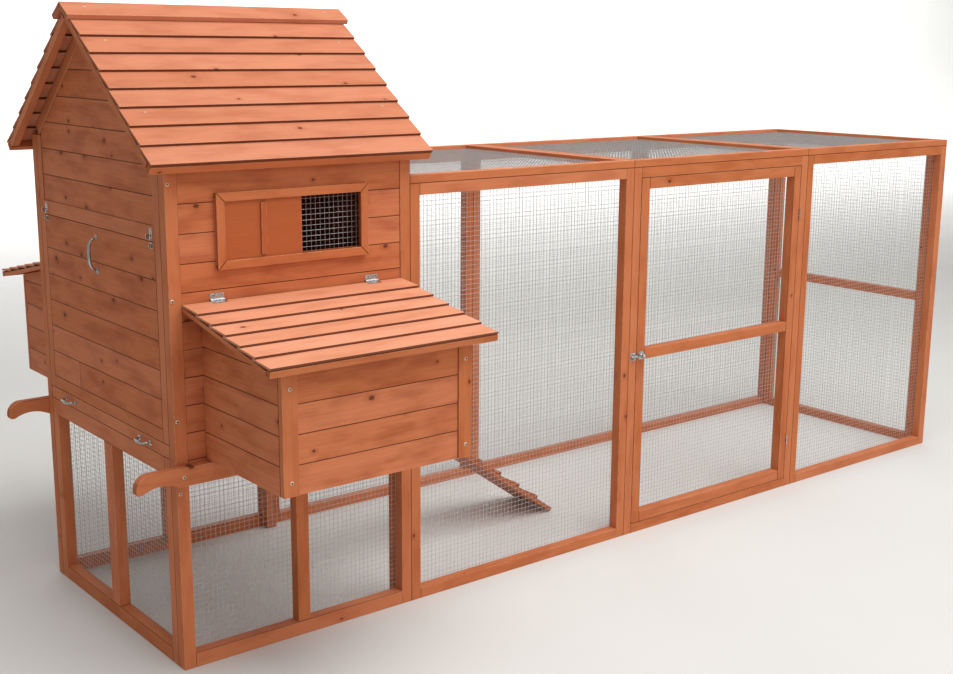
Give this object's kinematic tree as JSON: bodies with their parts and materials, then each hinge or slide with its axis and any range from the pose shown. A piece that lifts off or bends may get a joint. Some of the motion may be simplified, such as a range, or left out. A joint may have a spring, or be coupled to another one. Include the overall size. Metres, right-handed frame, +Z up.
{
  "type": "chicken coop",
  "caption": "Gabled wooden hen house raised on mesh legs, with lidded nest boxes on both sides, a pull-out tray, a ramp and a long wire-mesh run with a framed door.",
  "frame": {"origin": "on the ground, under the middle of the coop's overall box", "axes": "+Z up, +X from the house along the run, -Y the front with the window and the run door"},
  "size_m": [3.11, 1.5272, 1.5248],
  "materials": {
    "stained_fir": "orange-brown stain on planed fir, satin",
    "roof_fir": "paler salmon stain on planed fir, satin",
    "zinc_hardware": "bright zinc plate",
    "galvanised_mesh": "galvanised welded wire",
    "galvanised_tray": "galvanised sheet with a faint spangle",
    "screw_zinc": "dull zinc screw heads"
  },
  "bodies": {
    "coop": {"house_front_frame": "stained_fir", "house_back_frame": "stained_fir", "house_left_frame": "stained_fir", "house_right_frame": "stained_fir", "front_wall_boards": "stained_fir", "back_wall_boards": "stained_fir", "left_gable_boards": "stained_fir", "right_wall_boards": "stained_fir", "roof_battens": "stained_fir", "window_moulding": "stained_fir", "nest_front_frame": "stained_fir", "nest_back_frame": "stained_fir", "nest_front_boards": "stained_fir", "nest_back_boards": "stained_fir", "nest_front_inside": "stained_fir", "nest_back_inside": "stained_fir", "tray_runners": "stained_fir", "carry_handle_front": "stained_fir", "carry_handle_back": "stained_fir", "run_front_frames": "stained_fir", "run_back_frames": "stained_fir", "run_end_frame": "stained_fir", "run_roof_frames": "stained_fir", "pop_door_guides": "stained_fir", "perch": "stained_fir", "roof_front_boards": "roof_fir", "roof_back_boards": "roof_fir", "roof_ridge_cap": "roof_fir", "fixed_hinge_halves": "zinc_hardware", "catch_plates": "zinc_hardware", "window_mesh": "galvanised_mesh", "house_leg_mesh": "galvanised_mesh", "run_wall_mesh": "galvanised_mesh", "run_roof_mesh": "galvanised_mesh", "wood_screws": "screw_zinc"},
    "access_door": {"access_door_boards": "stained_fir", "access_door_battens": "stained_fir", "access_door_handle": "zinc_hardware", "access_door_fittings": "zinc_hardware"},
    "catch_front": {"catch_turn_front": "zinc_hardware"},
    "catch_back": {"catch_turn_back": "zinc_hardware"},
    "tray": {"tray_pan": "galvanised_tray", "tray_front": "stained_fir", "tray_handles": "zinc_hardware"},
    "lid_front": {"lid_front_boards": "roof_fir", "lid_front_battens": "stained_fir", "lid_front_hinges": "zinc_hardware"},
    "lid_back": {"lid_back_boards": "roof_fir", "lid_back_battens": "stained_fir", "lid_back_hinges": "zinc_hardware"},
    "run_door": {"run_door_frame": "stained_fir", "run_door_mesh": "galvanised_mesh", "run_door_fittings": "zinc_hardware"},
    "run_latch": {"run_latch_turn": "zinc_hardware"},
    "shutter": {"window_shutter": "stained_fir"},
    "ramp": {"ramp_board": "stained_fir", "ramp_cleats": "stained_fir", "ramp_hinges": "zinc_hardware"},
    "pop_door": {"pop_door": "stained_fir"}
  },
  "joints": [
    {"name": "access_door_pull_out", "type": "slide", "parent": "coop", "child": "access_door", "axis": [-1, 0, 0], "range_m": [0, 0.06]},
    {"name": "catch_front_turn", "type": "hinge", "parent": "coop", "child": "catch_front", "pos_m": [-1.448, -0.305, 1.013], "axis": [1, 0, 0], "range_deg": [0, 90]},
    {"name": "catch_back_turn", "type": "hinge", "parent": "coop", "child": "catch_back", "pos_m": [-1.448, 0.305, 1.013], "axis": [-1, 0, 0], "range_deg": [0, 90]},
    {"name": "tray_slide", "type": "slide", "parent": "coop", "child": "tray", "axis": [-1, 0, 0], "range_m": [0, 0.56]},
    {"name": "lid_front_hinge", "type": "hinge", "parent": "coop", "child": "lid_front", "pos_m": [-1.121, -0.382, 0.8702], "axis": [-1, 0, 0], "range_deg": [0, 85]},
    {"name": "lid_back_hinge", "type": "hinge", "parent": "coop", "child": "lid_back", "pos_m": [-1.121, 0.382, 0.8702], "axis": [1, 0, 0], "range_deg": [0, 85]},
    {"name": "run_door_hinge", "type": "hinge", "parent": "coop", "child": "run_door", "pos_m": [0.7405, -0.3826, 0.56], "axis": [0, 0, 1], "range_deg": [0, 170]},
    {"name": "run_latch_turn", "type": "hinge", "parent": "run_door", "child": "run_latch", "pos_m": [0.038, -0.385, 0.548], "axis": [0, 1, 0], "range_deg": [0, 90]},
    {"name": "window_shutter_slide", "type": "slide", "parent": "coop", "child": "shutter", "axis": [1, 0, 0], "range_m": [0, 0.165]},
    {"name": "ramp_hinge", "type": "hinge", "parent": "coop", "child": "ramp", "pos_m": [-0.79, 0, 0.546], "axis": [0, -1, 0], "range_deg": [0, 60]},
    {"name": "pop_door_slide", "type": "slide", "parent": "coop", "child": "pop_door", "axis": [0, -1, 0], "range_m": [0, 0.216]}
  ]
}
